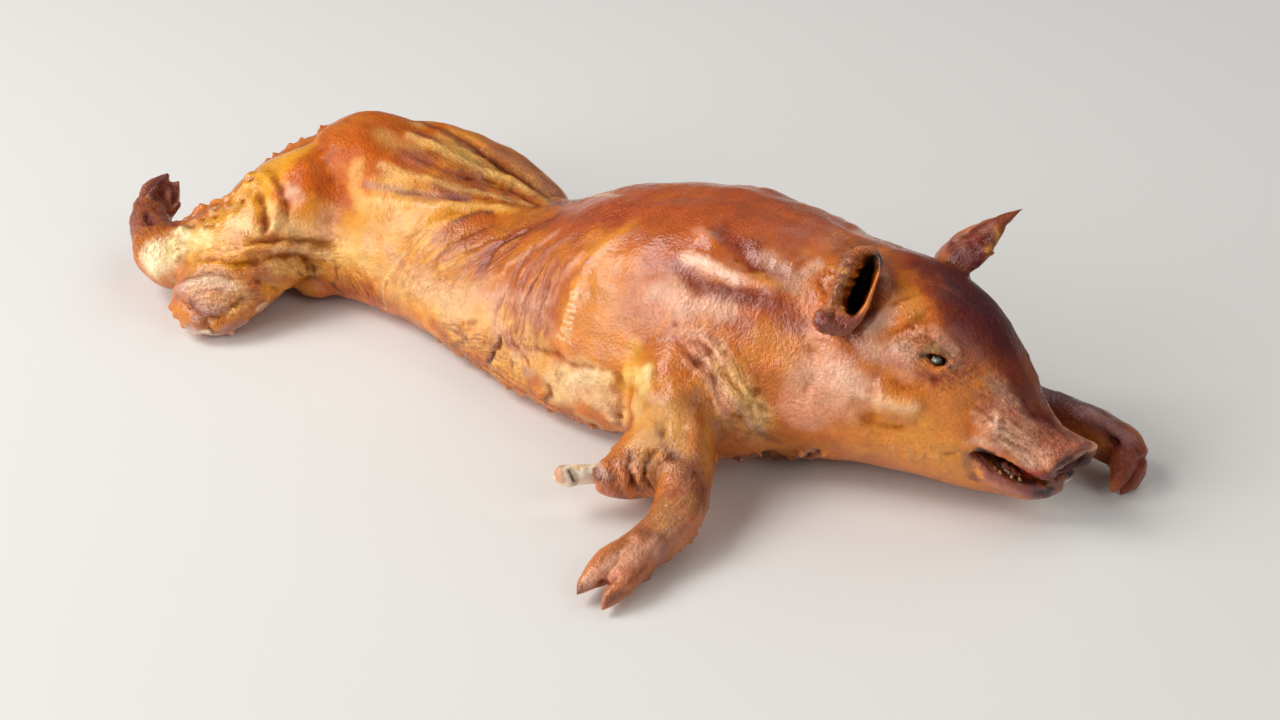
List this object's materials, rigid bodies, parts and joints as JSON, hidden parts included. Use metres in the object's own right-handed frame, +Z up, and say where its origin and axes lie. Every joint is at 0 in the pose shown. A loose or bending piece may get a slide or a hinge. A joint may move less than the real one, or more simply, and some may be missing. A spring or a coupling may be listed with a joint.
{
  "type": "whole roast suckling pig",
  "caption": "Whole roast suckling pig lying on its belly, forelegs spread, hind legs stretched back, with browned glossy skin and a bare elbow bone.",
  "frame": {"origin": "centre of the bounding box's underside, on the surface the pig lies on", "axes": "+X from the rump towards the snout, +Y towards the pig's left, +Z up from the table"},
  "size_m": [0.7718, 0.3934, 0.1673],
  "materials": {
    "roast_skin": "glossy crisp roasted skin, browned unevenly",
    "bare_bone": "dry cream bone, scorched at its end",
    "cooked_eye": "cloudy grey-green cooked eye"
  },
  "bodies": {
    "root": {"carcass": "roast_skin", "elbow_bone": "bare_bone", "eye_right": "cooked_eye", "eye_left": "cooked_eye"}
  },
  "joints": []
}
